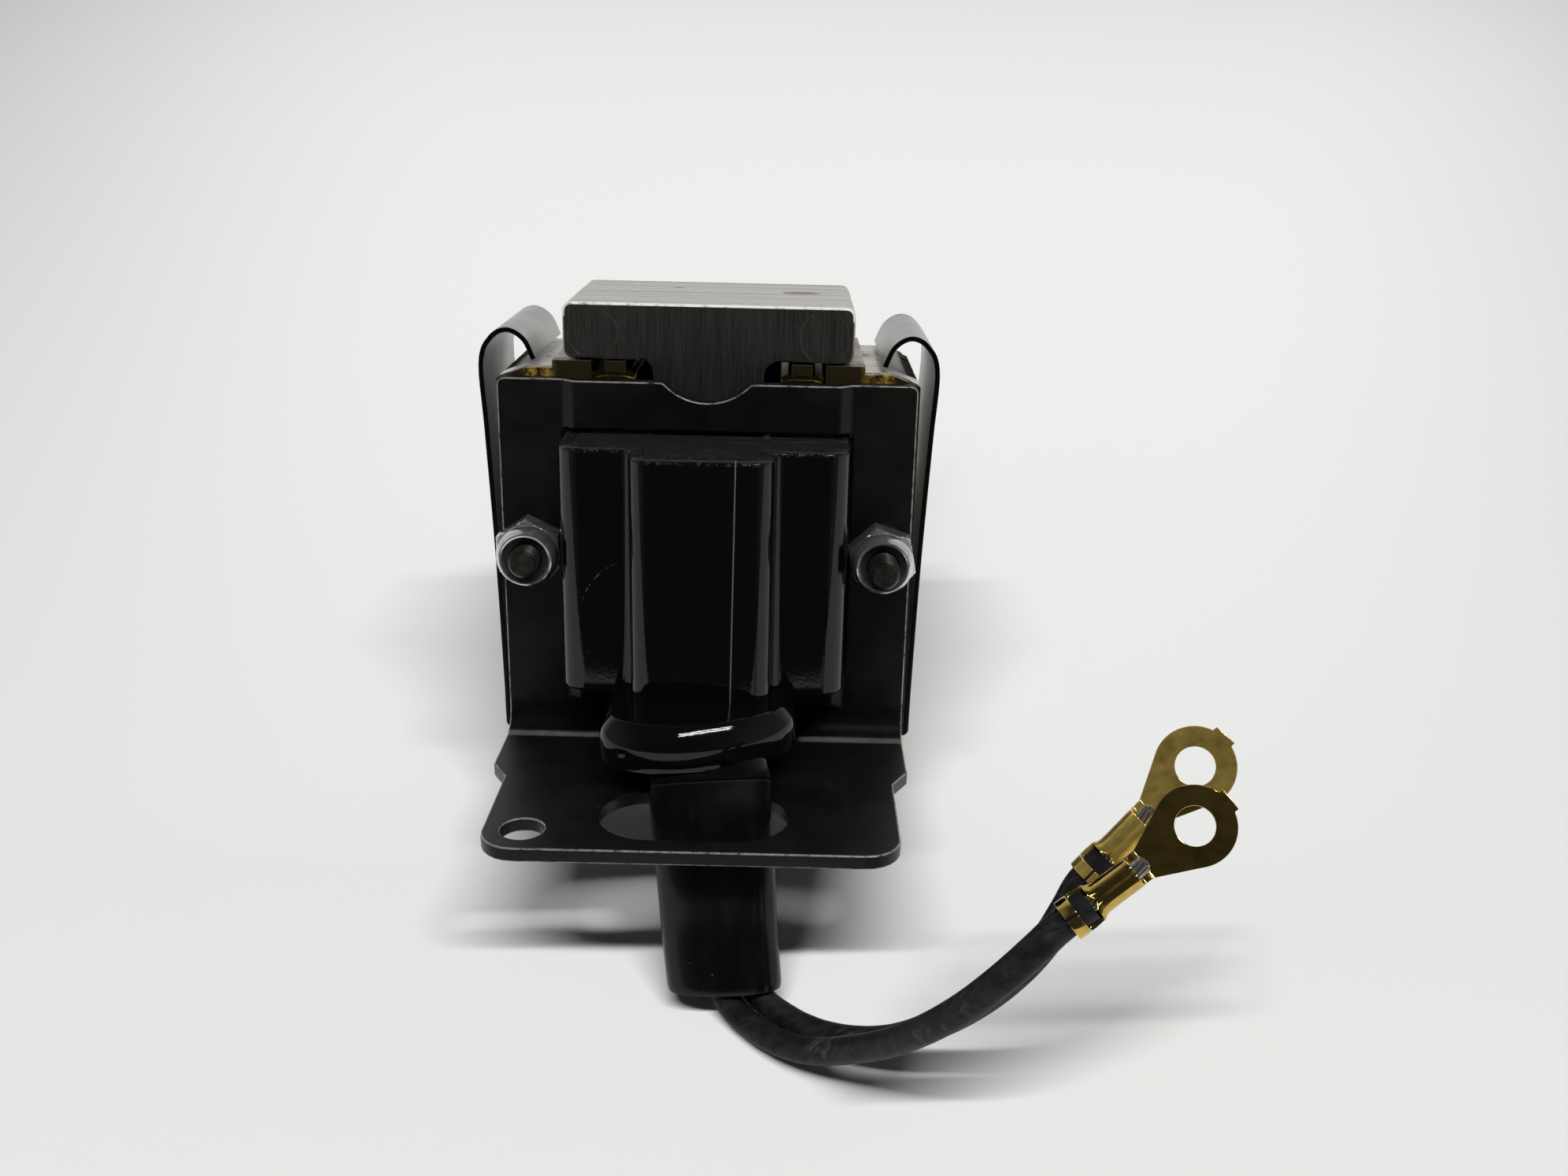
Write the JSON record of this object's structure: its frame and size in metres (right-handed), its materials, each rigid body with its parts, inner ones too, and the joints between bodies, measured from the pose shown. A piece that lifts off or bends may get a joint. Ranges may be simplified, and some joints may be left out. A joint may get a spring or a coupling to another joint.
{
  "type": "laminated solenoid",
  "caption": "Laminated pull solenoid with a sliding T-shaped plunger, moulded black coil, angle brackets, spring strap and ring-ended leads in a sleeve.",
  "frame": {"origin": "on the plunger's axis, in the plane of the undersides of the mounting flanges, on the underside of the spring strap", "axes": "+Z along the plunger's outward travel, -Y towards the side with the lead outlet, +X to the right seen from that side"},
  "size_m": [0.0903, 0.1255, 0.0877],
  "materials": {
    "black_steel": "black oxide, satin, worn at the edges",
    "core_steel": "punched laminations, dull",
    "copper": "dull copper",
    "black_moulding": "moulded, glossy",
    "nylon": "moulded",
    "enamelled_wire": "enamelled copper wire",
    "zinc": "zinc plated",
    "insert_nylon": "moulded",
    "spring_steel": "satin",
    "black_vinyl": "soft, glossy",
    "lead_rubber": "matte, scuffed",
    "brass": "plain",
    "tinned": "tinned copper"
  },
  "bodies": {
    "solenoid": {"front_bracket": "black_steel", "rear_bracket": "black_steel", "frame_stack": "core_steel", "shading_ring_left": "copper", "shading_ring_right": "copper", "coil_jacket": "black_moulding", "coil_bobbin": "nylon", "coil_winding": "enamelled_wire", "through_screw_left": "zinc", "through_screw_right": "zinc", "lock_nut_left": "zinc", "lock_nut_right": "zinc", "nut_insert_left": "insert_nylon", "nut_insert_right": "insert_nylon", "spring_strap": "spring_steel", "lead_sleeve": "black_vinyl", "lead_front": "lead_rubber", "lead_rear": "lead_rubber", "terminal_front": "brass", "terminal_rear": "brass", "strands_front": "tinned", "strands_rear": "tinned"},
    "plunger": {"plunger_stack": "core_steel", "plunger_rivet_left": "core_steel", "plunger_rivet_right": "core_steel", "plunger_rivet_stem": "core_steel"}
  },
  "joints": [
    {"name": "plunger_slide", "type": "slide", "parent": "solenoid", "child": "plunger", "axis": [0, 0, 1], "range_m": [0, 0.019]}
  ]
}
